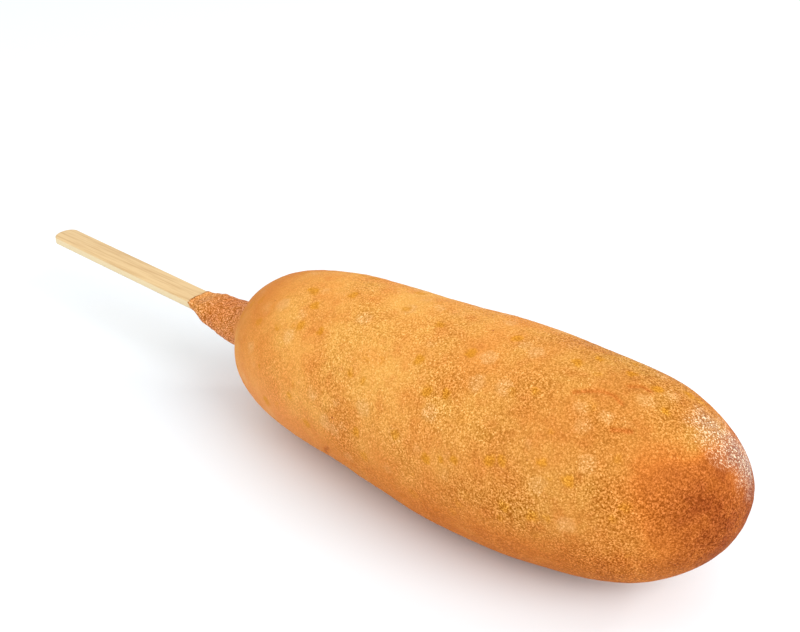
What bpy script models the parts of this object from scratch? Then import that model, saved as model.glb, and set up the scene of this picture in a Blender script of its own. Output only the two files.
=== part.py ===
"""A corn dog lying on its side: fried batter with a drawn-out collar, on a flat wooden stick.

Metres, +Z up. +X runs along the food to its rounded tip and the stick points to -X. The origin
is on the surface that the food rests on, under the middle of the whole bounding box.
"""

from math import atan2, copysign, cos, exp, hypot, pi, radians, sin

import bmesh
import bpy
from mathutils import Vector

# The fried body along its own axis, from its stick end to its tip
BODY_LENGTH = 0.112
TAPER_STICK_RADIUS = 0.0164
TAPER_TIP_RADIUS = 0.0237
STICK_DOME_LENGTH = 0.031
STICK_DOME_POWER = 2.8
TIP_DOME_LENGTH = 0.055
TIP_DOME_POWER = 2.3
BODY_TILT = radians(2.5)
# Sideways bend of the body: a plain bow, and a hook that grows towards the tip
BOW = -0.0031
HOOK = 0.0154
# Swells (+) and dips (-) of the hand-dipped batter: place along the axis, degrees round it
# from +Y, and height. Each dies away over SWELL_REACH, measured along the axis and round an
# arc of SWELL_ARC_RADIUS, and all of them fade within SWELL_POLE_RADIUS of the axis.
SWELL_REACH = 0.008
SWELL_ARC_RADIUS = BODY_LENGTH / 6.0
SWELL_POLE_RADIUS = 0.0061
SWELLS = (
    (0.007, 199.0, 0.00035),
    (0.033, 60.0, 0.00025),
    (0.033, 223.0, -0.00030),
    (0.045, 310.0, 0.00030),
    (0.055, 135.0, -0.00020),
    (0.057, 224.0, 0.00030),
    (0.079, 57.0, -0.00035),
    (0.082, 230.0, -0.00030),
    (0.088, 320.0, 0.00025),
    (0.098, 50.0, 0.00035),
    (0.100, 240.0, 0.00030),
    (0.109, 40.0, -0.00030),
    (0.108, 252.0, -0.00025),
)

# The collar, a sleeve of batter drawn out along the stick. Its section goes from a
# squarish one round the stick at the lip to a fuller oval at the root.
COLLAR_LENGTH = 0.020
COLLAR_ROOT_DEPTH = 0.010
COLLAR_FLARE_POWER = 0.7
LIP_HALF_WIDTH = 0.0039
LIP_HALF_HEIGHT = 0.0022
LIP_SQUARENESS = 3.2
LIP_ROUND = 0.0005
ROOT_HALF_WIDTH = 0.0062
ROOT_HALF_HEIGHT = 0.0051
ROOT_SQUARENESS = 2.0
COLLAR_SAG = 0.0009
UNDERSIDE_CUTBACK = 0.006

# The stick, straight and flat with round ends, and its place beside the body's axis
STICK_LENGTH = 0.1143
STICK_WIDTH = 0.0061
STICK_THICKNESS = 0.0018
STICK_FREE_END = -0.0711
STICK_EDGE_ROUND = 0.00025
STICK_YAW = radians(-1.8)
STICK_PITCH = radians(-2.7)
STICK_DROP = 0.0010

# Fits
SLOT_GAP = 0.0003
FLAT_DEPTH = 0.0005

# Mesh fineness
RING_STEPS = 64
STICK_DOME_POINTS = 14
MIDDLE_POINTS = 9
TIP_DOME_POINTS = 20
COLLAR_RING_STEPS = 40
COLLAR_POINTS = 10
STICK_END_POINTS = 12
MERGE_DISTANCE = 0.00001
SMOOTH_ANGLE = radians(40.0)


def clear_scene():
    """Remove every object of the open file."""
    for item in list(bpy.data.objects):
        bpy.data.objects.remove(item, do_unlink=True)


def new_collection(name):
    """Make a collection in the scene."""
    collection = bpy.data.collections.new(name)
    bpy.context.scene.collection.children.link(collection)
    return collection


def new_object(name, data, collection, parent=None):
    """Make an object in a collection; one without data is an empty."""
    item = bpy.data.objects.new(name, data)
    item.parent = parent
    collection.objects.link(item)
    return item


def make_material(name, colour, roughness):
    """Make a plain Principled material."""
    material = bpy.data.materials.new(name)
    material.use_nodes = True
    shader = material.node_tree.nodes["Principled BSDF"]
    shader.inputs["Base Color"].default_value = (*colour, 1.0)
    shader.inputs["Roughness"].default_value = roughness
    shader.inputs["Metallic"].default_value = 0.0
    return material


def evaluated_mesh(name, data, modify=None):
    """Turn a curve, or a mesh under a modifier, into a plain mesh."""
    source = bpy.data.objects.new(name, data)
    bpy.context.scene.collection.objects.link(source)
    if modify:
        modify(source)
    bpy.context.view_layer.update()
    evaluated = source.evaluated_get(bpy.context.evaluated_depsgraph_get())
    mesh = bpy.data.meshes.new_from_object(evaluated)
    bpy.data.objects.remove(source, do_unlink=True)
    return mesh


def turned_mesh(name, profile, steps):
    """Turn a profile of (radius, x) points about the X axis into one closed mesh."""
    outline = bpy.data.meshes.new(name)
    points = [(radius, 0.0, x) for radius, x in reversed(profile)]
    outline.from_pydata(points, [(i, i + 1) for i in range(len(points) - 1)], [])

    def add_screw(source):
        screw = source.modifiers.new("turn", "SCREW")
        screw.axis = "Z"
        screw.steps = steps
        screw.render_steps = steps
        screw.use_merge_vertices = True
        screw.merge_threshold = MERGE_DISTANCE

    mesh = evaluated_mesh(name, outline, add_screw)
    for vertex in mesh.vertices:
        vertex.co = Vector((vertex.co.z, vertex.co.y, -vertex.co.x))
    return mesh


def mix(start, end, share):
    """Go a share of the way from start to end."""
    return start + (end - start) * share


def smooth_step(value):
    """Ease from 0 to 1."""
    value = min(max(value, 0.0), 1.0)
    return value * value * (3.0 - 2.0 * value)


def dome(distance, length, power):
    """Give the rounding of an end, from 0 at its pole to 1 where the dome ends."""
    if distance >= length:
        return 1.0
    return max(1.0 - (1.0 - distance / length) ** power, 0.0) ** (1.0 / power)


def body_radius(x):
    """Give the body's radius at a place along its axis."""
    radius = mix(TAPER_STICK_RADIUS, TAPER_TIP_RADIUS, x / BODY_LENGTH)
    stick_dome = dome(x, STICK_DOME_LENGTH, STICK_DOME_POWER)
    return radius * stick_dome * dome(BODY_LENGTH - x, TIP_DOME_LENGTH, TIP_DOME_POWER)


def body_bend(x):
    """Give the sideways place of the body's middle line."""
    share = x / BODY_LENGTH
    return 4.0 * BOW * (share ** 2 - share) + HOOK * (share ** 3 - share)


def body_stations():
    """Give the places of the body's rings, close together where the domes turn."""
    tip_start = BODY_LENGTH - TIP_DOME_LENGTH
    stations = []
    for step in range(STICK_DOME_POINTS):
        stations.append(STICK_DOME_LENGTH * (1.0 - cos(0.5 * pi * step / STICK_DOME_POINTS)))
    for step in range(MIDDLE_POINTS):
        stations.append(mix(STICK_DOME_LENGTH, tip_start, step / MIDDLE_POINTS))
    for step in range(TIP_DOME_POINTS + 1):
        stations.append(tip_start + TIP_DOME_LENGTH * sin(0.5 * pi * step / TIP_DOME_POINTS))
    return stations


def swell_height(x, angle):
    """Give the height of the uneven batter at a place on the body."""
    height = 0.0
    for place, degrees, top in SWELLS:
        turn = (angle - radians(degrees) + pi) % (2.0 * pi) - pi
        away = hypot(x - place, turn * SWELL_ARC_RADIUS) / SWELL_REACH
        height += top * exp(-away ** 2)
    return height


def make_body(collection, parent, material):
    """Make the long fried body, without its collar."""
    profile = [(body_radius(x), x) for x in body_stations()]
    mesh = turned_mesh("batter", profile, RING_STEPS)
    for vertex in mesh.vertices:
        x, y, z = vertex.co
        angle = atan2(z, y)
        swell = swell_height(x, angle) * min(hypot(y, z) / SWELL_POLE_RADIUS, 1.0)
        vertex.co = Vector((x, y + swell * cos(angle) + body_bend(x), z + swell * sin(angle)))
    mesh.shade_smooth()
    mesh.set_sharp_from_angle(angle=SMOOTH_ANGLE)
    mesh.materials.append(material)
    return new_object("batter", mesh, collection, parent)


def shape_collar(mesh):
    """Make the round sleeve oval, let it sag a little and cut its lip back underneath."""
    for vertex in mesh.vertices:
        x, y, z = vertex.co
        radius = hypot(y, z)
        share = min(max(1.0 + x / COLLAR_LENGTH, 0.0), 1.0)
        flare = share ** COLLAR_FLARE_POWER
        power = 2.0 / mix(LIP_SQUARENESS, ROOT_SQUARENESS, flare)
        height = mix(LIP_HALF_HEIGHT / LIP_HALF_WIDTH, ROOT_HALF_HEIGHT / ROOT_HALF_WIDTH, flare)
        if radius > 0.0:
            y = copysign(radius * abs(y / radius) ** power, y)
            z = copysign(radius * height * abs(z / radius) ** power, z)
        below = smooth_step(-z / LIP_HALF_HEIGHT)
        sag = COLLAR_SAG * 4.0 * share * (1.0 - share)
        vertex.co = Vector((x + UNDERSIDE_CUTBACK * below * (1.0 - share), y, z - sag))


def make_collar(collection, parent):
    """Make the collar's sleeve, which is joined to the body."""
    profile = [(0.0, -COLLAR_LENGTH), (LIP_HALF_WIDTH - LIP_ROUND, -COLLAR_LENGTH)]
    for step in range(COLLAR_POINTS + 1):
        x = mix(LIP_ROUND - COLLAR_LENGTH, 0.0, step / COLLAR_POINTS)
        flare = (1.0 + x / COLLAR_LENGTH) ** COLLAR_FLARE_POWER
        profile.append((mix(LIP_HALF_WIDTH, ROOT_HALF_WIDTH, flare), x))
    profile += [(ROOT_HALF_WIDTH, COLLAR_ROOT_DEPTH), (0.0, COLLAR_ROOT_DEPTH)]
    mesh = turned_mesh("collar", profile, COLLAR_RING_STEPS)
    shape_collar(mesh)
    collar = new_object("collar", mesh, collection, parent)
    lie_along_stick(collar)
    return collar


def stick_outline(half_width, start, end):
    """Give the stick's flat outline, with a half round at each end."""
    outline = []
    for centre, side in ((end - half_width, 1.0), (start + half_width, -1.0)):
        for step in range(STICK_END_POINTS + 1):
            angle = pi * (step / STICK_END_POINTS - 0.5)
            outline.append((centre + side * half_width * cos(angle), side * half_width * sin(angle)))
    return outline


def stick_mesh(name, grow):
    """Make the stick's flat shape, larger by grow on every side, as a closed mesh."""
    curve = bpy.data.curves.new(name, "CURVE")
    curve.dimensions = "2D"
    curve.fill_mode = "BOTH"
    curve.extrude = 0.5 * STICK_THICKNESS + grow
    start = STICK_FREE_END - grow
    outline = stick_outline(0.5 * STICK_WIDTH + grow, start, start + STICK_LENGTH + 2.0 * grow)
    spline = curve.splines.new("POLY")
    spline.points.add(len(outline) - 1)
    for point, (x, y) in zip(spline.points, outline):
        point.co = (x, y, 0.0, 1.0)
    spline.use_cyclic_u = True
    mesh = evaluated_mesh(name, curve)
    weld(mesh)
    return mesh


def weld(mesh):
    """Join a mesh's loose caps to its sides."""
    cage = bmesh.new()
    cage.from_mesh(mesh)
    bmesh.ops.remove_doubles(cage, verts=cage.verts, dist=MERGE_DISTANCE)
    bmesh.ops.recalc_face_normals(cage, faces=cage.faces)
    cage.to_mesh(mesh)
    cage.free()


def lie_along_stick(item):
    """Give an object the stick's place and direction beside the body's axis."""
    item.location = (0.0, 0.0, -STICK_DROP)
    item.rotation_euler = (0.0, -STICK_PITCH, STICK_YAW)


def make_stick(collection, parent, material):
    """Make the flat stick, from its free end to its end inside the food."""
    mesh = stick_mesh("stick", 0.0)
    mesh.shade_smooth()
    mesh.set_sharp_from_angle(angle=SMOOTH_ANGLE)
    mesh.materials.append(material)
    stick = new_object("stick", mesh, collection, parent)
    edge = stick.modifiers.new("soft edges", "BEVEL")
    edge.width = STICK_EDGE_ROUND
    edge.segments = 2
    edge.limit_method = "ANGLE"
    edge.angle_limit = radians(60.0)
    lie_along_stick(stick)
    return stick


def make_slot(collection, parent):
    """Make the cutter of the slot that the stick leaves in the food."""
    slot = new_object("stick_slot", stick_mesh("stick_slot", SLOT_GAP), collection, parent)
    lie_along_stick(slot)
    return slot


def make_rest_cutter(collection):
    """Make the block under z = 0 that cuts the small flat that the food rests on."""
    mesh = bpy.data.meshes.new("rest_flat")
    block = bmesh.new()
    bmesh.ops.create_cube(block, size=2.0 * BODY_LENGTH)
    bmesh.ops.translate(block, verts=block.verts, vec=(0.0, 0.0, -BODY_LENGTH))
    block.to_mesh(mesh)
    block.free()
    return new_object("rest_flat", mesh, collection)


def add_boolean(target, tool, operation):
    """Join a tool to the target or cut it away."""
    tool.hide_render = True
    tool.display_type = "WIRE"
    boolean = target.modifiers.new(tool.name, "BOOLEAN")
    boolean.object = tool
    boolean.operation = operation
    boolean.solver = "EXACT"


def world_points(item):
    """Give an object's evaluated points in world space."""
    bpy.context.view_layer.update()
    evaluated = item.evaluated_get(bpy.context.evaluated_depsgraph_get())
    return [evaluated.matrix_world @ vertex.co for vertex in evaluated.data.vertices]


def place_on_floor(root, pieces, resting):
    """Centre the pieces over the origin, with the resting piece just under z = 0."""
    points = [point for piece in pieces for point in world_points(piece)]
    for axis in (0, 1):
        values = [point[axis] for point in points]
        root.location[axis] = -0.5 * (min(values) + max(values))
    root.location.z = -FLAT_DEPTH - min(point.z for point in world_points(resting))


def main():
    """Build the corn dog."""
    clear_scene()
    parts = new_collection("corn_dog")
    cutters = new_collection("cutters")
    root = new_object("corn_dog_axis", None, parts)
    root.rotation_euler = (0.0, -BODY_TILT, 0.0)
    fried_batter = make_material("fried_batter", (0.78, 0.36, 0.09), 0.55)
    birch = make_material("birch", (0.88, 0.64, 0.34), 0.6)
    batter = make_body(parts, root, fried_batter)
    stick = make_stick(parts, root, birch)
    collar = make_collar(cutters, root)
    slot = make_slot(cutters, root)
    place_on_floor(root, (batter, stick), batter)
    add_boolean(batter, collar, "UNION")
    add_boolean(batter, slot, "DIFFERENCE")
    add_boolean(batter, make_rest_cutter(cutters), "DIFFERENCE")


main()
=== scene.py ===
"""Corn dog: the looks of its fried batter and flat wooden stick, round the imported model.

Laid out as an add-on and run as a script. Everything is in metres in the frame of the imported
model: +X runs along the food to its tip, +Z is up, and the food rests on z = 0.
"""

from math import atan2, copysign, cos, exp, hypot, pi, radians, sin

import bmesh
import bpy
from bpy.props import FloatProperty, FloatVectorProperty, IntProperty, PointerProperty
from mathutils import Euler, Matrix, Vector, noise


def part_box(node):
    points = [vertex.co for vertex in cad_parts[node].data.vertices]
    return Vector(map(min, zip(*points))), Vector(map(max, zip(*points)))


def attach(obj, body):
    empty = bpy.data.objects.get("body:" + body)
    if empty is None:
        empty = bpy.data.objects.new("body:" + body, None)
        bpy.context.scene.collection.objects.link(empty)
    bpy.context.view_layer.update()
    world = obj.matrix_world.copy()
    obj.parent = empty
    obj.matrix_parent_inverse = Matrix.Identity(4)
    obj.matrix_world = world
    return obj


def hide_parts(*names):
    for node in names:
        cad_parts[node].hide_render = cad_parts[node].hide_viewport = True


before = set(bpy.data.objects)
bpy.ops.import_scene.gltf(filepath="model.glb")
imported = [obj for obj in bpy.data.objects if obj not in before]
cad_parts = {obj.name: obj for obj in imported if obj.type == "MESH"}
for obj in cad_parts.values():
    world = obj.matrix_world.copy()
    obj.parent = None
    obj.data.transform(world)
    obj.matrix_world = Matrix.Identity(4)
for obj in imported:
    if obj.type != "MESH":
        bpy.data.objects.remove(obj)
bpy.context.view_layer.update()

bl_info = {
    "name": "Corn Dog",
    "version": (1, 0, 0),
    "blender": (4, 5, 0),
    "location": "View3D > Sidebar > Corn Dog",
    "description": "Builds a fried corn dog on a flat stick, with its stage",
    "category": "Object",
}

MM = 0.001
BODY = "root"
MERGE_DISTANCE = 1e-7


def linear(hex_colour):
    """Turn an sRGB hex colour into linear red, green and blue."""
    channels = [int(hex_colour[i : i + 2], 16) / 255.0 for i in (0, 2, 4)]
    return tuple(c / 12.92 if c <= 0.04045 else ((c + 0.055) / 1.055) ** 2.4 for c in channels)


def length(name, description, default):
    """Make a length property in metres."""
    return FloatProperty(
        name=name, description=description, default=default, unit="LENGTH", precision=5
    )


def turn(name, description, degrees):
    """Make an angle property from degrees."""
    return FloatProperty(
        name=name, description=description, default=radians(degrees), subtype="ANGLE"
    )


def power(name, description, watts):
    """Make a power property in watts."""
    return FloatProperty(name=name, description=description, default=watts, unit="POWER")


def colour(name, description, hex_colour):
    """Make a colour property from a hex value."""
    return FloatVectorProperty(
        name=name,
        description=description,
        subtype="COLOR",
        size=3,
        min=0,
        max=1,
        default=linear(hex_colour),
    )


class BatterShape(bpy.types.PropertyGroup):
    """Sizes of the fried body and its collar, as the model was built."""

    body_length: length("Body length", "From the collar end to the tip", 0.112)
    stick_end_radius: length("Stick end radius", "Radius that the taper starts from", 0.0164)
    tip_radius: length("Tip radius", "Radius that the taper would reach", 0.0237)
    stick_dome: length("Stick dome", "Length over which the stick end rounds off", 0.031)
    tip_dome: length("Tip dome", "Length over which the tip rounds off", 0.055)
    tilt: turn("Tilt", "Lift of the axis towards the tip", 2.5)
    bow: length("Bow", "Sideways bow of the middle line", -0.0031)
    hook: length("Hook", "Sideways hook towards the tip", 0.0154)
    collar_length: length("Collar length", "Length of the collar along the stick", 0.020)
    cutback: length("Underside cutback", "How far the lip is cut back underneath", 0.006)
    sag: length("Collar sag", "How far the collar's middle sags", 0.0009)
    ragged: length("Ragged lip", "How far the lip's edge wanders", 0.0013)
    fillet: length("Root fillet", "Length of the curve from collar to body", 0.0034)
    root_lift: length("Root lift", "How far the collar rises towards the body", 0.0004)


class BatterSurface(bpy.types.PropertyGroup):
    """Relief and colours of the fried surface."""

    ring_steps: IntProperty(
        name="Ring steps", description="Points round the body", default=262, min=24
    )
    spacing: length("Ring spacing", "Distance between rings along the body", 0.00046)
    swell: length("Swell", "Height of the broad, soft swells", 0.00016)
    swell_width: length("Swell width", "Width of the broad, soft swells", 0.009)
    pimple: length("Pimple", "Height of the pimples left by the hot oil", 0.00005)
    pimple_width: length("Pimple width", "Width of the pimples", 0.0015)
    blister: length("Collar blister", "Height of the blisters on the thin collar", 0.00016)
    blister_width: length("Collar blister width", "Width of the blisters on the collar", 0.0012)
    inset: length("Inset", "Shift of the relief, to stay inside the model", -0.00004)
    grain: length("Grain", "Width of the finest crumbs in the crust", 0.0003)
    golden: colour("Golden", "Evenly fried crust", "E3A552")
    amber: colour("Amber", "Deeper fried patches", "DE9446")
    russet: colour("Russet", "Crust that fried longest", "CD7831")
    # Browned tip, dark enough to hold painted shade on its lower front as well
    toasted_and_shaded: colour("Toasted", "Browned tip", "92471A")
    cornmeal: colour("Cornmeal", "Yellow flecks of cornmeal", "CB8509")
    blush: colour("Blush", "Paler spots where the batter is thickest", "E2AC6C")
    # Pinkish-orange: the crust's own colour next to the collar, and a painted floor reflection low
    # on the stick end
    copper: colour("Copper", "Pinkish-orange crust at the stick end", "E6955A")
    tip_shade_tint: colour("Deep tint", "Tint of the deeper fried half", "E2E1DC")
    # Painted shade: a near-grey tint that darkens the half towards the tip
    speck: colour("Speck", "Scorched specks", "8A3A16")
    # Painted highlight: a pale colour painted on the crumb's peaks where the oil lies, standing in
    # for glints
    painted_glint: colour("Glint", "Beads of oil that catch the light", "FFF0CC")


class StickLook(bpy.types.PropertyGroup):
    """Size and colours of the flat wooden stick."""

    overall: length("Length", "From end to end", 0.1143)
    width: length("Width", "Across the flat", 0.0061)
    thickness: length("Thickness", "Through the flat", 0.0018)
    edge: length("Edge round", "Rounding of the tumbled edges", 0.0003)
    yaw: turn("Yaw", "Turn from the body's axis", -1.8)
    pitch: turn("Pitch", "Dip from the body's axis", -2.7)
    free_end: length("Free end", "Place of the free end on the stick's axis", -0.07107)
    drop: length("Drop", "How far the stick sits under the body's axis", 0.0010)
    pale: colour("Pale wood", "Earlywood of the birch", "D4B583")
    streak: colour("Grain streak", "Darker fibres along the stick", "BE9A68")
    # Paler sides: partly sawn wood, partly painted light on the side faces
    cut: colour("Cut edge", "Paler sawn edges of the stick", "E2CDA2")


class Stage(bpy.types.PropertyGroup):
    """Floor, lights and camera."""

    floor: colour("Floor", "Pale sweep under the food", "E6EBEF")
    key_power: power("Key power", "Softbox beyond the tip", 16.0)
    fill_power: power("Fill power", "Softbox in front", 7.2)
    rim_power: power("Rim power", "Softbox beside the tip", 0.5)
    ambient: FloatProperty(
        name="Ambient", description="Strength of the white surround", default=0.91
    )
    azimuth: turn("Azimuth", "Camera turn", 39.8)
    elevation: turn("Elevation", "How steeply the camera looks down", 28.7)
    lens: FloatProperty(name="Lens", description="Focal length in millimetres", default=58.5)


# Swells (+) and dips (-) of the hand-dipped batter, as in the model: share along the body,
# degrees round it from +Y, and height in millimetres
SWELLS = (
    (0.062, 199.0, 0.35),
    (0.295, 60.0, 0.25),
    (0.295, 223.0, -0.30),
    (0.402, 310.0, 0.30),
    (0.491, 135.0, -0.20),
    (0.509, 224.0, 0.30),
    (0.705, 57.0, -0.35),
    (0.732, 230.0, -0.30),
    (0.786, 320.0, 0.25),
    (0.875, 50.0, 0.35),
    (0.893, 240.0, 0.30),
    (0.973, 40.0, -0.30),
    (0.964, 252.0, -0.25),
)
SWELL_REACH = 8.0 * MM
# Round the body, a swell is measured on an arc whose radius is the body's length over this
SWELL_ARC_DIVISOR = 6.0
# Swells fade where the body is slimmer than this, so that its poles stay closed
SWELL_POLE_RADIUS = 0.0061

# Creases where the crust folded as it set: runs of (share along the body, degrees round it)
CREASES = (
    ((0.762, 119.0), (0.782, 114.5), (0.795, 112.0), (0.811, 111.0), (0.829, 113.5)),
    ((0.838, 128.5), (0.846, 127.0), (0.860, 125.0)),
    ((0.819, 101.0), (0.832, 96.0), (0.846, 96.0)),
    ((0.300, 215.0), (0.312, 205.0), (0.330, 199.0)),
    ((0.610, 50.0), (0.634, 47.0), (0.652, 52.0)),
    ((0.520, 322.0), (0.545, 330.0), (0.578, 332.0)),
)
CREASE_WIDTH = 0.42 * MM
CREASE_DEPTH = 0.24 * MM
# A place further than this share of the body from a crease is not measured against it
CREASE_REACH = 0.15

# Ends of the streak of oil that runs over the tip, which also carries painted glints, in metres in
# the model's frame
OIL_AND_GLINT_STREAK = (Vector((0.0842, 0.0036, 0.0345)), Vector((0.0892, 0.0066, 0.0288)))

# How square the ends of the body's outline are, where 2 is an ellipse, and how finely the
# outline is sampled before it is divided evenly
STICK_DOME_POWER = 2.8
TIP_DOME_POWER = 2.3
OUTLINE_STEPS = 4000

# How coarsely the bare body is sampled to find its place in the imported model
PLACE_START_RADIUS = 0.004
PLACE_SPACING = 0.001
PLACE_STEPS = 96

# The collar at its lip and at its root: half its width and height, and its squareness, where 2
# is an oval. It widens quickly at first, by this power of the way along it.
COLLAR_HALF_WIDTHS = (0.0039, 0.0062)
COLLAR_HALF_HEIGHTS = (0.0022, 0.0048)
COLLAR_SQUARENESS = (3.2, 2.0)
COLLAR_FLARE = 0.7
COLLAR_ROOT_RADIUS = 0.0068
# How far below its middle line the collar is cut back all the way
CUTBACK_DROP = 0.0022

# Waves round the collar's torn lip, and where they are read in the noise
LIP_WAVES = 2.6
LIP_SEED = 4.0

# At its lip the batter clings to the stick: how far it stands off the stick's sides and faces,
# how square it is, and the share of the collar over which it thickens to the full sleeve
CLING_SIDE = 0.00022
CLING_FACE = 0.0003
CLING_SQUARENESS = 6.0
CLING_SHARE = 0.3
LIP_SHARES = (0.05, 0.02)
LIP_GAP = 0.00001

# The slot round the stick: its play all round, its squareness, where it ends under the collar
# and how many rings it has
SLOT_PLAY = 0.0003
SLOT_SQUARENESS = 12.0
SLOT_MOUTH = -0.012
SLOT_RINGS = 9

# The stick's rounded end: its steps, how deep it is next to a half circle, the angle over which
# an edge is sharp, and the (start, span) of slope over which its faces turn to sawn edges
STICK_END_STEPS = 24
STICK_END_ROUND = 0.75
STICK_EDGE_SEGMENTS = 4
STICK_SHARP_ANGLE = radians(40.0)
# The paler sides are partly sawn wood and partly painted light
STICK_SIDE_FADE = (0.1, 0.5)

# The looks below are eased over (start, span, top), and fall where the span is negative. They go
# along the body as a share of its length, or up it, from -1 underneath to 1 on top.

# Browning: the warm half and the dark tip along the body, both under a golden top; the dark tip
# also carries painted shade on its lower front. The random stains shift those edges.
WARM_HALF = (0.55, 0.15, 0.15)
DARK_TIP = (0.845, 0.155, 0.77)
GOLDEN_TOP = (0.72, 0.26)
STAIN_WIDTH = 12.0 * MM
TIP_STAIN = 0.03
TOP_STAIN = 0.1
COLLAR_STAIN = 0.5
# "Up" is measured against at least this radius, so that it stays steady round the tip
STEADY_RADIUS = 0.0135
# Browning of the underside at the stick end and further along, and how it fades upwards
LOW_BROWNING = (0.15, 0.48)
LOW_ALONG = (0.1, 0.5)
LOW_LINE = 0.3
LOW_SPAN = 0.64
# Browning of the collar at its root and at its lip, and the distance over which it changes
COLLAR_BROWNING = (0.52, 0.15)
LIP_FADE = 0.007
# Browning of the shoulder over the stick end, along the body and up it
SHOULDER_ALONG = (0.21, -0.12, 0.33)
SHOULDER_UP = (0.2, 0.5)
# Painted shade: the creases are darkened as if browned
CREASE_SHADE = 0.5

# Pinkish crust next to the collar, in metres, and a painted reflection of the floor along the
# lower edge of the stick end
COPPER_END = (0.005, -0.006, 0.35)
FLOOR_REFLECTION_UNDER = (0.4, -0.7, 0.6)
FLOOR_REFLECTION_ALONG = (0.4, -0.3)

# The half of the body towards the tip that takes painted shade, and the metres over which the body
# turns to collar
TIP_SHADE_HALF = (0.5, 0.4)
COLLAR_EDGE = (0.0015, -0.005)

# How strongly the crumb's painted shade and glints show: least at the stick end, more along the
# body in two steps, weaker underneath short of the tip, strongest on the collar, and uneven in
# patches
CRUMB_LEAST = 0.18
CRUMB_STEPS = ((0.05, 0.3, 0.58), (0.5, 0.3, 0.24))
CRUMB_UNDER = (0.002, -0.012, 0.3)
CRUMB_SHORT_OF_TIP = (0.85, -0.15)
CRUMB_ON_COLLAR = 1.6
CRUMB_PATCH_WIDTH = 9.0 * MM
CRUMB_PATCH_SEED = Vector((7.0, 3.0, 5.0))
CRUMB_PATCHES = (0.75, 0.5)

# Oil, which also carries the painted glints: how it fades away from its streak, in metres, how
# ragged the streak's edge is, and how much of it lies on the collar
OIL_FADE = (0.0005, 0.006, 0.95)
OIL_RAGGED = 0.002
OIL_PATCH_WIDTH = 3.0 * MM
OIL_AND_GLINT_ON_COLLAR = 0.1

# Widths of the crust's patterns. Real crumbs are 0.1 to 0.2 mm wide, too fine to show, so the
# crumbs and the grain on them are drawn 0.4 and 0.3 mm wide.
PATCH_WIDTH = 12.0 * MM
MOTTLE_WIDTH = 4.0 * MM
RAGGED_WIDTH = 1.6 * MM
CRUMB_WIDTH = 0.4 * MM
CRUMB_HEIGHT = 0.4 * MM
# Painted shade in the crumb's hollows and painted glints on its peaks, as factors of the crust's
# own colour
CRUMB_SHADE_AND_GLINT_TONES = ((0.19, (0.45, 0.32, 0.0)), (0.4, (1.0, 1.0, 1.0)), (0.59, (1.6, 1.9, 3.3)))

# Spots on the crust from the lowest up: colour, whether the edge is ragged, spacing, radius,
# the share of places that hold one, and strength
SPOTS = (
    ("blush", True, 5.2 * MM, 1.8 * MM, 0.45, 0.55),
    ("russet", True, 3.8 * MM, 0.9 * MM, 0.45, 0.16),
    ("cornmeal", True, 4.4 * MM, 1.2 * MM, 0.62, 0.8),
    ("speck", False, 5.5 * MM, 0.3 * MM, 0.3, 0.8),
)

# Real birch fibres are a few hundredths of a millimetre wide, too fine to show, so they are
# drawn as bands 0.5 mm wide and 25 times as long
FIBRE_WIDTH = 0.5 * MM
FIBRE_SHORTENING = 0.04
FIBRE_DEPTH = 0.04 * MM

# The sweep reaches this far each way, so that its edge is out of sight
SWEEP_REACH = 30.0
# Softboxes, each with its name, side, place and target; the powers are settings of the stage
SOFTBOXES = (
    ("key", 1.0, (1.304, -0.118, 0.938), (0.0, 0.0, 0.02)),
    ("fill", 1.0, (0.839, -1.007, 0.938), (0.0, 0.0, 0.02)),
    ("rim", 0.10, (0.385, 0.42, 0.36), (0.08, 0.0, 0.03)),
)
CAMERA_PLACE = (0.1576, -0.1641, 0.1521)
SENSOR_WIDTH = 36.0
CAMERA_NEAR = 0.01


def mix(start, end, share):
    """Go a share of the way from start to end."""
    return start + (end - start) * share


def clamp(value):
    """Keep a value between 0 and 1."""
    return min(max(value, 0.0), 1.0)


def smooth_step(value):
    """Ease from 0 to 1."""
    value = clamp(value)
    return value * value * (3.0 - 2.0 * value)


def rise(value, start, span, top=1.0):
    """Ease from 0 to top as a value goes over a span; a negative span makes it fall."""
    return top * smooth_step((value - start) / span)


def dome(distance, reach, squareness):
    """Give the rounding of an end, from 0 at its pole to 1 where the dome ends."""
    if distance >= reach:
        return 1.0
    return max(1.0 - (1.0 - distance / reach) ** squareness, 0.0) ** (1.0 / squareness)


def body_radius(shape, x):
    """Give the body's radius at a place along its axis."""
    radius = mix(shape.stick_end_radius, shape.tip_radius, x / shape.body_length)
    stick_end = dome(x, shape.stick_dome, STICK_DOME_POWER)
    return radius * stick_end * dome(shape.body_length - x, shape.tip_dome, TIP_DOME_POWER)


def body_outline(shape, start_radius, spacing):
    """Give evenly spaced (x, radius) points, from a radius on the stick end to the tip."""
    angles = [pi * i / OUTLINE_STEPS for i in range(OUTLINE_STEPS + 1)]
    fine = [(0.5 - 0.5 * cos(angle)) * shape.body_length for angle in angles]
    points = [(x, body_radius(shape, x)) for x in fine]
    first = next(i for i, point in enumerate(points) if point[1] >= start_radius)
    outline = [points[first]]
    travelled = 0.0
    for before, after in zip(points[first:], points[first + 1 :]):
        travelled += hypot(after[0] - before[0], after[1] - before[1])
        if travelled >= spacing:
            outline.append(after)
            travelled = 0.0
    return outline + [(shape.body_length, 0.0)]


def swell_height(shape, x, angle):
    """Give the height of the uneven batter at a place on the body."""
    height = 0.0
    for share, degrees, top in SWELLS:
        around = (angle - radians(degrees) + pi) % (2.0 * pi) - pi
        arc = around * shape.body_length / SWELL_ARC_DIVISOR
        away = hypot(x - share * shape.body_length, arc) / SWELL_REACH
        height += top * MM * exp(-(away**2))
    return height


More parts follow.
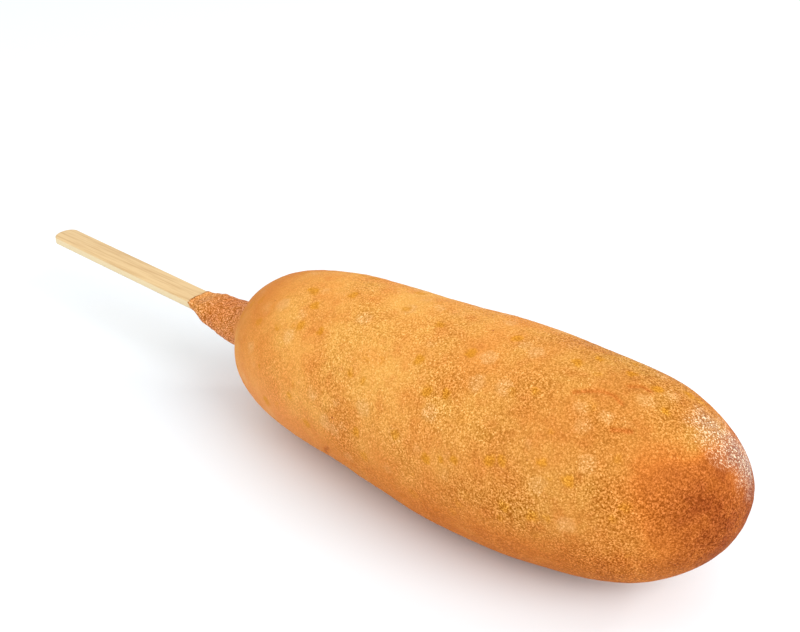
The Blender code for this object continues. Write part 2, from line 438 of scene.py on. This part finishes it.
def body_point(shape, x, radius, angle):
    """Give a point of the bare body in the body's own frame."""
    share = x / shape.body_length
    bend = 4.0 * shape.bow * (share**2 - share) + shape.hook * (share**3 - share)
    radius += swell_height(shape, x, angle) * min(radius / SWELL_POLE_RADIUS, 1.0)
    return Vector((x, bend + radius * cos(angle), radius * sin(angle)))


def squarish(half_width, half_height, squareness, angle):
    """Give the sideways and upward place on a rounded oblong at an angle."""
    flatness = 2.0 / squareness
    across = copysign(half_width * abs(cos(angle)) ** flatness, cos(angle))
    return across, copysign(half_height * abs(sin(angle)) ** flatness, sin(angle))


def collar_point(shape, stick, share, cling, angle):
    """Give a point of the collar from its lip (share 0) to its root (share 1).

    cling goes from 0, the full sleeve, to 1, where the batter lies thin on the stick.
    """
    flare = share**COLLAR_FLARE
    half_width = mix(mix(*COLLAR_HALF_WIDTHS, flare), 0.5 * stick.width + CLING_SIDE, cling)
    half_height = mix(mix(*COLLAR_HALF_HEIGHTS, flare), 0.5 * stick.thickness + CLING_FACE, cling)
    squareness = mix(mix(*COLLAR_SQUARENESS, flare), CLING_SQUARENESS, cling)
    across, up = squarish(half_width, half_height, squareness, angle)
    below = smooth_step(-up / CUTBACK_DROP)
    sag = shape.sag * 4.0 * share * (1.0 - share)
    wave = noise.noise(Vector((LIP_WAVES * cos(angle), LIP_WAVES * sin(angle), LIP_SEED)))
    torn = shape.ragged * wave * (1.0 - share) ** 3
    x = -shape.collar_length * (1.0 - share) + shape.cutback * below * (1.0 - share) + torn
    return Vector((x, across, up - sag + shape.root_lift * share))


def distance_to_line(point, start, end):
    """Give how far a point is from the line between two others."""
    along = clamp((point - start).dot(end - start) / (end - start).length_squared)
    return (point - start.lerp(end, along)).length


def crease_depth(shape, body_place):
    """Give how deep in a crease a place on the body lies, from 0 outside to 1 at its bottom."""
    angle = atan2(body_place.z, body_place.y) % (2.0 * pi)
    here = Vector((body_place.x / shape.body_length, angle))
    to_metres = Vector((shape.body_length, hypot(body_place.y, body_place.z)))
    nearest = 1.0
    for run in CREASES:
        if abs(here.x - run[0][0]) > CREASE_REACH:
            continue
        places = [Vector((share, radians(degrees))) * to_metres for share, degrees in run]
        for start, end in zip(places, places[1:]):
            nearest = min(nearest, distance_to_line(here * to_metres, start, end))
    return exp(-((nearest / CREASE_WIDTH) ** 2))


def stick_matrix(stick):
    """Give the stick's place and direction in the body's own frame."""
    direction = Euler((0.0, -stick.pitch, stick.yaw)).to_matrix().to_4x4()
    return Matrix.Translation((0.0, 0.0, -stick.drop)) @ direction


def body_matrix(shape):
    """Give the body's place in the model's frame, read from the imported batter's box."""
    low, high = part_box("batter")
    tilted = Matrix.Rotation(-shape.tilt, 4, "Y")
    outline = body_outline(shape, PLACE_START_RADIUS, PLACE_SPACING)
    angles = [2.0 * pi * i / PLACE_STEPS for i in range(PLACE_STEPS)]
    points = [tilted @ body_point(shape, x, r, angle) for x, r in outline for angle in angles]
    sideways = [point.y for point in points]
    shift = Vector(
        (
            high.x - max(point.x for point in points),
            0.5 * (low.y + high.y - max(sideways) - min(sideways)),
            high.z - max(point.z for point in points),
        )
    )
    return Matrix.Translation(shift) @ tilted


def spun_grid(rings, steps):
    """Spin a straight row of points into a tube whose ring i lies at z = i."""
    cage = bmesh.new()
    row = [cage.verts.new((1.0, 0.0, float(i))) for i in range(rings)]
    edges = [cage.edges.new(pair) for pair in zip(row, row[1:])]
    bmesh.ops.spin(
        cage, geom=row + edges, axis=(0, 0, 1), angle=2.0 * pi, steps=steps, use_merge=True
    )
    return cage


def batter_rings(shape, surface, stick):
    """List the rings of the batter from the blind end of the stick's slot to the tip.

    Each ring is a function of the angle round it.
    """
    along = stick_matrix(stick)
    slot_end = stick.free_end + stick.overall + SLOT_PLAY
    rings = []

    def add_slot(x, size=1.0):
        rings.append(lambda angle: along @ stick_outline(stick, x, SLOT_PLAY, size, angle))

    def add_lip(share):
        def ring(angle):
            x = collar_point(shape, stick, share, 1.0, angle).x
            return along @ stick_outline(stick, x, LIP_GAP, 1.0, angle)

        rings.append(ring)

    def add_collar(share):
        cling = 1.0 - smooth_step(share / CLING_SHARE)
        rings.append(lambda angle: along @ collar_point(shape, stick, share, cling, angle))

    def add_fillet(share):
        rings.append(lambda angle: fillet_point(shape, stick, root, outline[0], share, angle))

    def add_body(x, radius):
        rings.append(lambda angle: body_point(shape, x, radius, angle))

    add_slot(slot_end, 0.0)
    for i in range(SLOT_RINGS):
        add_slot(mix(slot_end, SLOT_MOUTH, i / (SLOT_RINGS - 1)))
    for share in LIP_SHARES:
        add_lip(share)
    root = 1.0 - shape.fillet / shape.collar_length
    collar_rings = round(shape.collar_length / surface.spacing)
    for i in range(collar_rings):
        add_collar(root * i / (collar_rings - 1))
    outline = body_outline(shape, COLLAR_ROOT_RADIUS + shape.fillet, surface.spacing)
    fillet_rings = round((2.0 * shape.fillet) / surface.spacing)
    for i in range(1, fillet_rings):
        add_fillet(i / fillet_rings)
    for x, radius in outline:
        add_body(x, radius)
    return rings


def stick_outline(stick, x, gap, size, angle):
    """Give a point of the stick's squarish section at x, grown by a gap and then scaled."""
    half_width = (0.5 * stick.width + gap) * size
    half_height = (0.5 * stick.thickness + gap) * size
    return Vector((x, *squarish(half_width, half_height, SLOT_SQUARENESS, angle)))


def fillet_point(shape, stick, root, body_start, share, angle):
    """Give a point of the soft curve from the collar (share 0) into the body (share 1)."""
    along = stick_matrix(stick)
    start = along @ collar_point(shape, stick, root, 0.0, angle)
    corner = along @ collar_point(shape, stick, 1.0, 0.0, angle)
    end = body_point(shape, *body_start, angle)
    return start.lerp(corner, share).lerp(corner.lerp(end, share), share)


def relief(surface, point, on_collar):
    """Give the height of the fried surface at a point of the bare shape."""
    swell = surface.swell * noise.noise(point / surface.swell_width)
    pimples = surface.pimple * noise.noise(point / surface.pimple_width)
    blisters = surface.blister * noise.noise(point / surface.blister_width) * on_collar
    return swell + pimples + blisters


def finish_mesh(name, cage):
    """Make a bmesh a smooth-shaded object in the scene."""
    mesh = bpy.data.meshes.new(name)
    cage.to_mesh(mesh)
    cage.free()
    mesh.shade_smooth()
    piece = bpy.data.objects.new(name, mesh)
    bpy.context.scene.collection.objects.link(piece)
    return piece


def add_node(material, kind, settings=None, links=None):
    """Add a node with its settings, and link its inputs from other nodes' sockets or set them."""
    node = material.node_tree.nodes.new(kind)
    for name, value in (settings or {}).items():
        setattr(node, name, value)
    for name, value in (links or {}).items():
        if isinstance(value, bpy.types.NodeSocket):
            material.node_tree.links.new(value, node.inputs[name])
        else:
            node.inputs[name].default_value = value
    return node


def new_material(name):
    """Make a material with an empty node tree."""
    material = bpy.data.materials.new(name)
    material.use_nodes = True
    material.node_tree.nodes.clear()
    return material


def ramp(material, factor, stops):
    """Add a colour ramp from (position, linear colour) stops."""
    node = add_node(material, "ShaderNodeValToRGB", links={"Fac": factor})
    elements = node.color_ramp.elements
    while len(elements) < len(stops):
        elements.new(0.5)
    for element, (position, tint) in zip(elements, stops):
        element.position = position
        element.color = (*tint, 1.0)
    return node.outputs["Color"]


def blend_colours(material, factor, first, second, mode="MIX"):
    """Add a colour mix; factor, first and second are sockets or values."""
    node = add_node(material, "ShaderNodeMix", {"data_type": "RGBA", "blend_type": mode})
    factor_socket, first_socket, second_socket = node.inputs[0], node.inputs[6], node.inputs[7]
    for socket, value in ((factor_socket, factor), (first_socket, first), (second_socket, second)):
        if isinstance(value, bpy.types.NodeSocket):
            material.node_tree.links.new(value, socket)
        elif isinstance(value, float):
            socket.default_value = value
        else:
            socket.default_value = (*value, 1.0)
    return node.outputs[2]


def spots(material, place, spacing, radius, share):
    """Scatter soft spots over a share of the cells, and give a factor that is 1 inside them."""
    cells = add_node(
        material, "ShaderNodeTexVoronoi", links={"Vector": place, "Scale": 1.0 / spacing}
    )
    edge = radius / spacing
    inside = add_node(
        material,
        "ShaderNodeMapRange",
        {"interpolation_type": "SMOOTHSTEP"},
        {"Value": cells.outputs["Distance"], "From Min": edge * 1.25, "From Max": edge * 0.55},
    )
    # A cell's random tone says whether it holds a spot, and lets a few spots be faint
    chosen = add_node(
        material,
        "ShaderNodeMapRange",
        links={
            "Value": cells.outputs["Color"],
            "From Min": 0.72 - 0.5 * share,
            "From Max": 0.78 - 0.45 * share,
        },
    )
    return add_node(
        material,
        "ShaderNodeMath",
        {"operation": "MULTIPLY"},
        {0: inside.outputs["Result"], 1: chosen.outputs["Result"]},
    ).outputs["Value"]


def fried_batter_material(surface):
    """Deep-fried cornmeal batter: a golden crust with a sandy crumb, browned where it lay deepest
    in the oil, with yellow cornmeal flecks, paler spots and a thin film of oil that glints."""
    material = new_material("fried_cornmeal_batter")
    place = add_node(material, "ShaderNodeTexCoord").outputs["Object"]
    broad = add_node(
        material,
        "ShaderNodeTexNoise",
        links={"Vector": place, "Scale": 1.0 / PATCH_WIDTH, "Detail": 2.0, "Roughness": 0.6},
    ).outputs["Fac"]
    medium = add_node(
        material,
        "ShaderNodeTexNoise",
        links={"Vector": place, "Scale": 1.0 / MOTTLE_WIDTH, "Detail": 3.0, "Roughness": 0.6},
    ).outputs["Fac"]
    wobble = add_node(
        material,
        "ShaderNodeTexNoise",
        links={"Vector": place, "Scale": 1.0 / RAGGED_WIDTH, "Detail": 2.0},
    )
    ragged = add_node(
        material,
        "ShaderNodeVectorMath",
        {"operation": "MULTIPLY_ADD"},
        {0: wobble.outputs["Color"], 1: (RAGGED_WIDTH,) * 3, 2: place},
    ).outputs["Vector"]

    # Golden and amber patches with a russet mottle
    patches = ramp(material, broad, [(0.38, surface.golden), (0.62, surface.amber)])
    mottle = add_node(
        material,
        "ShaderNodeMapRange",
        links={"Value": medium, "From Min": 0.5, "From Max": 0.72, "To Min": 0.0, "To Max": 0.45},
    ).outputs["Result"]
    fried = blend_colours(material, mottle, patches, surface.russet)

    # Browning, with painted shade on the tip and in the creases, first to russet and then to
    # toasted, uneven by the mottle
    browning = add_node(
        material, "ShaderNodeAttribute", {"attribute_name": "browning"}
    ).outputs["Fac"]
    uneven = add_node(
        material, "ShaderNodeMath", {"operation": "MULTIPLY_ADD"}, {0: medium, 1: 0.8, 2: 0.6}
    ).outputs["Value"]
    browned_and_shaded = add_node(
        material, "ShaderNodeMath", {"operation": "MULTIPLY"}, {0: browning, 1: uneven}
    ).outputs["Value"]
    russet_share = add_node(
        material, "ShaderNodeMapRange", links={"Value": browned_and_shaded, "From Min": 0.0, "From Max": 0.5}
    ).outputs["Result"]
    toasted_share = add_node(
        material, "ShaderNodeMapRange", links={"Value": browned_and_shaded, "From Min": 0.45, "From Max": 1.0}
    ).outputs["Result"]
    fried = blend_colours(material, russet_share, fried, surface.russet)
    fried = blend_colours(material, toasted_share, fried, surface.toasted_and_shaded)
    # Painted shade: the half towards the tip is darkened at the same hue
    darker = add_node(material, "ShaderNodeAttribute", {"attribute_name": "deep"}).outputs["Fac"]
    fried = blend_colours(material, darker, fried, surface.tip_shade_tint, "MULTIPLY")
    # Pinkish crust next to the collar, and a painted floor reflection low on the stick end
    pinkish = add_node(
        material, "ShaderNodeAttribute", {"attribute_name": "copper"}
    ).outputs["Fac"]
    fried = blend_colours(material, pinkish, fried, surface.copper)

    # Spots, which fade where the crust is browned and where it has painted shade
    plain = add_node(
        material,
        "ShaderNodeMapRange",
        links={"Value": browning, "From Min": 0.1, "From Max": 0.5, "To Min": 0.8, "To Max": 0.0},
    ).outputs["Result"]
    for tint, is_ragged, spacing, radius, share, strength in SPOTS:
        spotted = spots(material, ragged if is_ragged else place, spacing, radius, share)
        faded = add_node(
            material, "ShaderNodeMath", {"operation": "MULTIPLY"}, {0: spotted, 1: plain}
        ).outputs["Value"]
        weaker = add_node(
            material, "ShaderNodeMath", {"operation": "MULTIPLY"}, {0: faded, 1: strength}
        ).outputs["Value"]
        fried = blend_colours(material, weaker, fried, getattr(surface, tint))

    # Crumb: painted shade in the hollows and painted glints on the peaks, whose height is also the
    # bumps
    grain = add_node(
        material,
        "ShaderNodeTexNoise",
        links={"Vector": place, "Scale": 1.0 / surface.grain, "Detail": 2.0, "Roughness": 0.75},
    ).outputs["Fac"]
    crumbs = add_node(
        material,
        "ShaderNodeTexVoronoi",
        {"feature": "SMOOTH_F1"},
        {"Vector": ragged, "Scale": 1.0 / CRUMB_WIDTH, "Smoothness": 0.4},
    ).outputs["Distance"]
    height = add_node(
        material, "ShaderNodeMath", {"operation": "MULTIPLY_ADD"}, {0: crumbs, 1: -0.35, 2: grain}
    ).outputs["Value"]
    coarse = add_node(material, "ShaderNodeAttribute", {"attribute_name": "coarse"}).outputs["Fac"]
    painted_crumb_light = ramp(material, height, CRUMB_SHADE_AND_GLINT_TONES)
    crust = blend_colours(material, coarse, fried, painted_crumb_light, "MULTIPLY")

    # Oil: a glossier film, with painted glints as small pale beads on the peaks of the crumb
    oil = add_node(material, "ShaderNodeAttribute", {"attribute_name": "oil"}).outputs["Fac"]
    film, sharp, polish = (
        add_node(
            material, "ShaderNodeMapRange", links={"Value": oil, "To Min": dry, "To Max": oily}
        ).outputs["Result"]
        for dry, oily in ((0.04, 0.5), (0.2, 1.0), (0.62, 0.3))
    )
    peaks = add_node(
        material, "ShaderNodeMapRange", links={"Value": height, "From Min": 0.36, "From Max": 0.48}
    ).outputs["Result"]
    # Painted highlight: pale beads painted on the crumb's peaks where the oil lies
    painted_glints = add_node(
        material, "ShaderNodeMath", {"operation": "MULTIPLY"}, {0: peaks, 1: oil}
    ).outputs["Value"]
    crust = blend_colours(material, painted_glints, crust, surface.painted_glint)
    crumb = add_node(
        material,
        "ShaderNodeBump",
        links={"Height": height, "Distance": CRUMB_HEIGHT, "Strength": sharp},
    )
    shader = add_node(
        material,
        "ShaderNodeBsdfPrincipled",
        links={
            "Base Color": crust,
            "Normal": crumb.outputs["Normal"],
            "Specular IOR Level": film,
            "Roughness": polish,
            "IOR": 1.45,
        },
    )
    add_node(material, "ShaderNodeOutputMaterial", links={"Surface": shader.outputs["BSDF"]})
    return material


def birch_material(look):
    """Birch, sawn flat and tumbled: pale, matt and close-grained, with faint long fibres and paler
    sides that are partly painted light.
    """
    material = new_material("birch")
    place = add_node(material, "ShaderNodeTexCoord").outputs["Object"]
    along = add_node(
        material,
        "ShaderNodeMapping",
        links={"Vector": place, "Scale": (FIBRE_SHORTENING, 1.0, 1.0)},
    ).outputs["Vector"]
    fibres = add_node(
        material,
        "ShaderNodeTexNoise",
        links={"Vector": along, "Scale": 1.0 / FIBRE_WIDTH, "Detail": 3.0, "Roughness": 0.6},
    ).outputs["Fac"]
    tint = ramp(material, fibres, [(0.3, look.streak), (0.55, look.pale)])
    # Paler sides, partly sawn wood and partly painted light
    side = add_node(material, "ShaderNodeAttribute", {"attribute_name": "cut_edge"}).outputs["Fac"]
    tint = blend_colours(material, side, tint, look.cut)
    grooves = add_node(
        material,
        "ShaderNodeBump",
        links={"Height": fibres, "Distance": FIBRE_DEPTH, "Strength": 1.0},
    ).outputs["Normal"]
    shader = add_node(
        material,
        "ShaderNodeBsdfPrincipled",
        links={"Base Color": tint, "Normal": grooves, "Roughness": 0.6, "IOR": 1.5},
    )
    add_node(material, "ShaderNodeOutputMaterial", links={"Surface": shader.outputs["BSDF"]})
    return material


def sweep_material(stage):
    """Matt white paper sweep, which takes soft shadows and nothing else."""
    material = new_material("paper_sweep")
    shader = add_node(
        material,
        "ShaderNodeBsdfPrincipled",
        links={"Base Color": (*stage.floor, 1.0), "Roughness": 0.9, "Specular IOR Level": 0.0},
    )
    add_node(material, "ShaderNodeOutputMaterial", links={"Surface": shader.outputs["BSDF"]})
    return material


def browning_and_shade_at(shape, point, body_place, on_collar):
    """Give how deeply the crust is browned at a point, with painted shade on the tip's lower front
    and in the creases: 0 is golden, 1 is toasted.
    """
    share = body_place.x / shape.body_length
    stain = noise.noise(point / STAIN_WIDTH)
    up = body_place.z / max(hypot(body_place.y, body_place.z), STEADY_RADIUS)
    under_top = 1.0 - rise(up + TOP_STAIN * stain, *GOLDEN_TOP)
    tip = (rise(share, *WARM_HALF) + rise(share + TIP_STAIN * stain, *DARK_TIP)) * under_top
    low = mix(*LOW_BROWNING, rise(share, *LOW_ALONG)) * clamp((LOW_LINE - up) / LOW_SPAN)
    lip = rise(-body_place.x, 0.5 * shape.collar_length, LIP_FADE)
    collar = on_collar * mix(*COLLAR_BROWNING, lip) * (1.0 + COLLAR_STAIN * stain)
    shoulder = rise(share, *SHOULDER_ALONG) * rise(up, *SHOULDER_UP)
    # Painted shade in the creases
    crease = CREASE_SHADE * crease_depth(shape, body_place)
    return clamp(max(tip, low, collar, shoulder) + crease)


def copper_and_floor_reflection_at(shape, body_place):
    """Give how pinkish the crust is at a point: its own colour next to the collar, and a painted
    reflection of the floor low on the stick end.
    """
    share = body_place.x / shape.body_length
    up = sin(atan2(body_place.z, body_place.y))
    floor_reflection = rise(up, *FLOOR_REFLECTION_UNDER) * rise(share, *FLOOR_REFLECTION_ALONG)
    return max(rise(body_place.x, *COPPER_END), floor_reflection)


def crumb_shade_and_glint_at(shape, point, body_place, on_collar):
    """Give how strongly the crumb's painted shade and glints show at a point."""
    share = body_place.x / shape.body_length
    middle, swing = CRUMB_PATCHES
    patchy = middle + swing * noise.noise(point / CRUMB_PATCH_WIDTH + CRUMB_PATCH_SEED)
    crumb = CRUMB_LEAST + sum(rise(share, *step) for step in CRUMB_STEPS)
    weaker = rise(body_place.z, *CRUMB_UNDER) * rise(share, *CRUMB_SHORT_OF_TIP)
    return clamp(patchy * mix(crumb * (1.0 - weaker), CRUMB_ON_COLLAR, on_collar))


def oil_and_glint_at(point, on_collar):
    """Give how much oil lies on the crust, which also places the painted glints: a streak over the
    tip, and beads on the collar.
    """
    patch = noise.noise(point / OIL_PATCH_WIDTH)
    start, span, most = OIL_FADE
    away = distance_to_line(point, *OIL_AND_GLINT_STREAK) - OIL_RAGGED * patch
    streak = most * (1.0 - rise(away, start, span))
    return clamp(streak + OIL_AND_GLINT_ON_COLLAR * on_collar * (1.0 + patch))


class CORNDOG_OT_batter(bpy.types.Operator):
    """Make the fried batter: body and collar in one piece"""

    bl_idname = "corndog.make_batter"
    bl_label = "Make Batter"

    def execute(self, context):
        shape = context.scene.batter_shape
        surface = context.scene.batter_surface
        stick = context.scene.stick_look
        rings = batter_rings(shape, surface, stick)
        place = body_matrix(shape)
        back = place.inverted()
        cage = spun_grid(len(rings), surface.ring_steps)
        for vertex in cage.verts:
            ring = rings[round(vertex.co.z)]
            vertex.co = place @ ring(atan2(vertex.co.y, vertex.co.x))
        bmesh.ops.remove_doubles(cage, verts=cage.verts, dist=MERGE_DISTANCE)
        bmesh.ops.recalc_face_normals(cage, faces=cage.faces)
        cage.normal_update()
        heights = []
        looks = {name: [] for name in ("browning", "oil", "coarse", "copper", "deep")}
        for vertex in cage.verts:
            local = back @ vertex.co
            on_collar = rise(local.x, *COLLAR_EDGE)
            crease = CREASE_DEPTH * crease_depth(shape, local)
            heights.append(relief(surface, vertex.co, on_collar) - crease)
            # Browning, with painted shade on the tip's lower front and in the creases
            browning = browning_and_shade_at(shape, vertex.co, local, on_collar)
            looks["browning"].append(browning)
            # Oil gloss, which also places the painted glints
            looks["oil"].append(oil_and_glint_at(vertex.co, on_collar))
            # Strength of the painted shade and glints of the crumb
            looks["coarse"].append(crumb_shade_and_glint_at(shape, vertex.co, local, on_collar))
            # Pinkish crust, with a painted floor reflection low on the stick end
            looks["copper"].append(copper_and_floor_reflection_at(shape, local))
            # Painted shade on the half towards the tip, less where the crust is browned
            darker = rise(local.x / shape.body_length, *TIP_SHADE_HALF)
            looks["deep"].append(darker * (1.0 - browning))
        low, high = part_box("batter")
        for vertex, height in zip(cage.verts, heights):
            raised = vertex.co + vertex.normal * (height + surface.inset)
            limits = zip(raised, low, high)
            vertex.co = Vector(min(max(value, least), most) for value, least, most in limits)
        piece = finish_mesh("fried_batter", cage)
        for name, values in looks.items():
            piece.data.attributes.new(name, "FLOAT", "POINT").data.foreach_set("value", values)
        piece.data.materials.append(fried_batter_material(surface))
        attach(piece, BODY)
        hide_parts("batter")
        return {"FINISHED"}


class CORNDOG_OT_stick(bpy.types.Operator):
    """Make the flat wooden stick"""

    bl_idname = "corndog.make_stick"
    bl_label = "Make Stick"

    def execute(self, context):
        look = context.scene.stick_look
        half = 0.5 * look.width
        inner = look.free_end + look.overall
        outline = [(inner, -half), (inner, half)]
        for i in range(STICK_END_STEPS + 1):
            angle = pi * (0.5 + i / STICK_END_STEPS)
            x = look.free_end + half * STICK_END_ROUND * (1.0 + cos(angle))
            outline.append((x, half * sin(angle)))
        cage = bmesh.new()
        face = cage.faces.new([cage.verts.new((x, y, -0.5 * look.thickness)) for x, y in outline])
        raised = bmesh.ops.extrude_face_region(cage, geom=[face])["geom"]
        tops = [item for item in raised if isinstance(item, bmesh.types.BMVert)]
        bmesh.ops.translate(cage, verts=tops, vec=(0.0, 0.0, look.thickness))
        bmesh.ops.recalc_face_normals(cage, faces=cage.faces)
        rims = [
            edge
            for edge in cage.edges
            if abs(edge.verts[0].co.z - edge.verts[1].co.z) < MERGE_DISTANCE
        ]
        bmesh.ops.bevel(
            cage,
            geom=rims,
            offset=look.edge,
            segments=STICK_EDGE_SEGMENTS,
            affect="EDGES",
            profile=0.5,
            material=-1,
        )
        # Where the sides are painted paler, partly sawn wood and partly painted light
        sides = [1.0 - rise(abs(vertex.normal.z), *STICK_SIDE_FADE) for vertex in cage.verts]
        place = body_matrix(context.scene.batter_shape) @ stick_matrix(look)
        bmesh.ops.transform(cage, matrix=place, verts=cage.verts)
        piece = finish_mesh("birch_stick", cage)
        piece.data.set_sharp_from_angle(angle=STICK_SHARP_ANGLE)
        piece.data.attributes.new("cut_edge", "FLOAT", "POINT").data.foreach_set("value", sides)
        piece.data.materials.append(birch_material(look))
        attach(piece, BODY)
        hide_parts("stick")
        return {"FINISHED"}


class CORNDOG_OT_stage(bpy.types.Operator):
    """Make the floor, the soft lights and the camera"""

    bl_idname = "corndog.make_stage"
    bl_label = "Make Stage"

    def execute(self, context):
        stage = context.scene.stage_look
        cage = bmesh.new()
        bmesh.ops.create_grid(cage, x_segments=1, y_segments=1, size=SWEEP_REACH)
        floor = finish_mesh("sweep", cage)
        floor.data.materials.append(sweep_material(stage))
        for name, side, place, target in SOFTBOXES:
            watts = getattr(stage, f"{name}_power")
            add_softbox(f"{name}_softbox", watts, side, place, target)
        add_surround(context.scene, stage)
        add_camera(context.scene, stage)
        return {"FINISHED"}


def add_softbox(name, watts, side, place, target):
    """Add a square area light that faces a target."""
    light = bpy.data.lights.new(name, "AREA")
    light.energy = watts
    light.size = side
    lamp = bpy.data.objects.new(name, light)
    lamp.location = place
    lamp.rotation_euler = (Vector(target) - Vector(place)).to_track_quat("-Z", "Y").to_euler()
    bpy.context.scene.collection.objects.link(lamp)


def add_surround(scene, stage):
    """Light the scene with an even white surround and show colours as they are."""
    world = bpy.data.worlds.new("surround")
    world.use_nodes = True
    background = world.node_tree.nodes["Background"]
    background.inputs["Strength"].default_value = stage.ambient
    background.inputs["Color"].default_value = (1.0, 1.0, 1.0, 1.0)
    scene.world = world
    scene.view_settings.view_transform = "Standard"


def add_camera(scene, stage):
    """Look down along the food from beyond its tip."""
    camera = bpy.data.objects.new("camera", bpy.data.cameras.new("camera"))
    camera.data.lens = stage.lens
    camera.data.sensor_width = SENSOR_WIDTH
    camera.location = CAMERA_PLACE
    camera.rotation_euler = (0.5 * pi - stage.elevation, 0.0, stage.azimuth)
    camera.data.clip_start = CAMERA_NEAR
    scene.collection.objects.link(camera)
    scene.camera = camera


class CORNDOG_PT_panel(bpy.types.Panel):
    """Lists the corn dog's settings and steps"""

    bl_idname = "CORNDOG_PT_panel"
    bl_label = "Corn Dog"
    bl_space_type = "VIEW_3D"
    bl_region_type = "UI"
    bl_category = "Corn Dog"

    def draw(self, context):
        for name, group in SETTINGS.items():
            box = self.layout.box()
            box.label(text=name.replace("_", " ").capitalize())
            for setting in group.__annotations__:
                box.prop(getattr(context.scene, name), setting)
        for operator in OPERATORS:
            self.layout.operator(operator.bl_idname)


SETTINGS = {
    "batter_shape": BatterShape,
    "batter_surface": BatterSurface,
    "stick_look": StickLook,
    "stage_look": Stage,
}
OPERATORS = (CORNDOG_OT_batter, CORNDOG_OT_stick, CORNDOG_OT_stage)


def register():
    """Register the classes and hang the settings on the scene."""
    for name, group in SETTINGS.items():
        bpy.utils.register_class(group)
        setattr(bpy.types.Scene, name, PointerProperty(type=group))
    for item in (*OPERATORS, CORNDOG_PT_panel):
        bpy.utils.register_class(item)


def unregister():
    """Undo register."""
    for item in (CORNDOG_PT_panel, *reversed(OPERATORS)):
        bpy.utils.unregister_class(item)
    for name, group in reversed(SETTINGS.items()):
        delattr(bpy.types.Scene, name)
        bpy.utils.unregister_class(group)


def main():
    """Build everything."""
    register()
    bpy.ops.corndog.make_batter()
    bpy.ops.corndog.make_stick()
    bpy.ops.corndog.make_stage()


if __name__ == "__main__":
    main()
